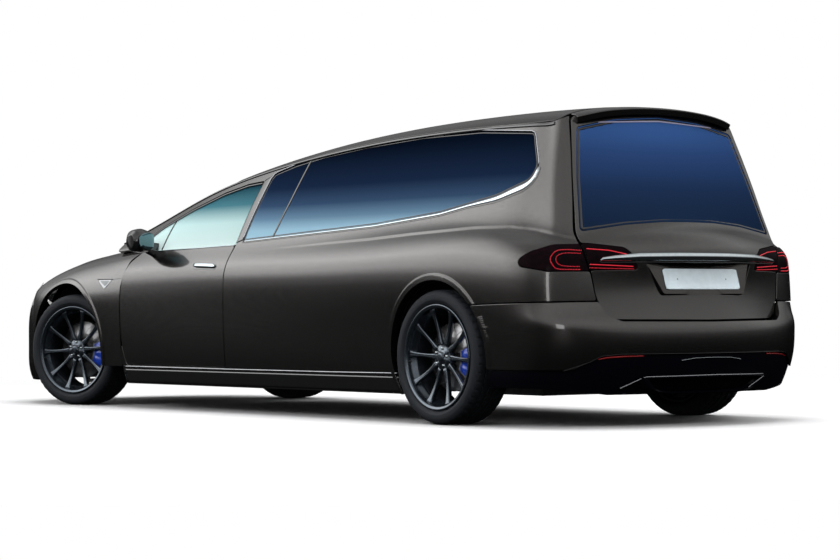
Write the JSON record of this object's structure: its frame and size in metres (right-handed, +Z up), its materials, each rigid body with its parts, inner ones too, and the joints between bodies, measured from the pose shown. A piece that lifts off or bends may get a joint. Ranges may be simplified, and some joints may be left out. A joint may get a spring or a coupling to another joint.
{
  "type": "electric hearse",
  "caption": "Long electric hearse: glazed load space behind a two-door cab, opening doors, bonnet and tailgate, steered front wheels, all wheels rolling.",
  "frame": {"origin": "on the ground under the middle of the car's bounding box", "axes": "+X forward, +Y to the car's left, +Z up"},
  "size_m": [5.9137, 2.156, 1.6611],
  "materials": {
    "paint": "metallic gloss",
    "glass_side": "tinted",
    "glass_front": "clear, green tint",
    "glass_rear": "tinted",
    "lamp_red": "gloss",
    "lamp_clear": "gloss",
    "trim_black": "satin",
    "underside": "matt sealer",
    "battery": "satin",
    "cast": "as cast",
    "brake": "gloss",
    "rim": "dark gloss",
    "tyre": "matt",
    "cabin_plastic": "grained",
    "seat": "fine grain",
    "deck": "satin lacquer",
    "plate": "satin"
  },
  "bodies": {
    "root": {"side_panel_left": "paint", "side_panel_right": "paint", "side_glass_left": "glass_side", "side_glass_right": "glass_side", "roof": "paint", "windscreen": "glass_front", "front_wings": "paint", "front_bumper": "paint", "headlamps": "lamp_clear", "rear_bumper": "paint", "rear_diffuser": "trim_black", "tail_lamps": "lamp_red", "underbody": "underside", "front_frame": "underside", "jack_pads": "trim_black", "battery_pack": "battery", "front_axle": "cast", "rear_axle": "cast", "drive_units": "battery", "wheel_liners": "trim_black", "front_tub": "trim_black", "load_deck": "deck", "seats": "seat", "dashboard": "cabin_plastic"},
    "door_l": {"door_left": "paint", "door_glass_left": "glass_front", "mirror_left": "trim_black"},
    "door_r": {"door_right": "paint", "door_glass_right": "glass_front", "mirror_right": "trim_black"},
    "bonnet_lid": {"bonnet": "paint"},
    "tailgate_lid": {"tailgate": "paint", "tailgate_glass": "glass_rear", "tailgate_lamps": "lamp_red", "number_plate": "plate"},
    "knuckle_l": {"front_knuckle_left": "cast"},
    "knuckle_r": {"front_knuckle_right": "cast"},
    "wheel_fl": {"wheel_front_left": "rim", "tyre_front_left": "tyre"},
    "wheel_fr": {"wheel_front_right": "rim", "tyre_front_right": "tyre"},
    "wheel_rl": {"wheel_rear_left": "rim", "tyre_rear_left": "tyre"},
    "wheel_rr": {"wheel_rear_right": "rim", "tyre_rear_right": "tyre"},
    "steering": {"steering_wheel": "seat"}
  },
  "joints": [
    {"name": "door_left_hinge", "type": "hinge", "parent": "root", "child": "door_l", "pos_m": [1.27, 0.943, 0.6], "axis": [0, 0, -1], "range_deg": [0, 65]},
    {"name": "door_right_hinge", "type": "hinge", "parent": "root", "child": "door_r", "pos_m": [1.27, -0.943, 0.6], "axis": [0, 0, 1], "range_deg": [0, 65]},
    {"name": "bonnet_hinge", "type": "hinge", "parent": "root", "child": "bonnet_lid", "pos_m": [1.592, 0, 1], "axis": [0, -1, 0], "range_deg": [0, 50]},
    {"name": "tailgate_hinge", "type": "hinge", "parent": "root", "child": "tailgate_lid", "pos_m": [-2.455, 0, 1.65], "axis": [0, 1, 0], "range_deg": [0, 85]},
    {"name": "steer_left", "type": "hinge", "parent": "root", "child": "knuckle_l", "pos_m": [1.99, 0.79, 0.352], "axis": [0, 0, 1], "range_deg": [-54, 17]},
    {"name": "steer_right", "type": "hinge", "parent": "root", "child": "knuckle_r", "pos_m": [1.99, -0.79, 0.352], "axis": [0, 0, 1], "range_deg": [-54, 17]},
    {"name": "steering_wheel_turn", "type": "hinge", "parent": "root", "child": "steering", "pos_m": [1.03, 0.385, 0.885], "axis": [-0.9135, 0, 0.4067], "range_deg": [-648, 204]},
    {"name": "roll_front_left", "type": "hinge", "parent": "knuckle_l", "child": "wheel_fl", "pos_m": [1.97721, 0.8279, 0.352], "axis": [-0.3198, 0.9475, 0], "continuous": true},
    {"name": "roll_front_right", "type": "hinge", "parent": "knuckle_r", "child": "wheel_fr", "pos_m": [2.00279, -0.8279, 0.352], "axis": [-0.3198, 0.9475, 0], "continuous": true},
    {"name": "roll_rear_left", "type": "hinge", "parent": "root", "child": "wheel_rl", "pos_m": [-1.87, 0.85, 0.352], "axis": [0, 1, 0], "continuous": true},
    {"name": "roll_rear_right", "type": "hinge", "parent": "root", "child": "wheel_rr", "pos_m": [-1.87, -0.85, 0.352], "axis": [0, 1, 0], "continuous": true}
  ],
  "couplings": [
    {"joint": "steer_right", "follows": "steer_left", "ratio": 1},
    {"joint": "steering_wheel_turn", "follows": "steer_left", "ratio": 12}
  ]
}
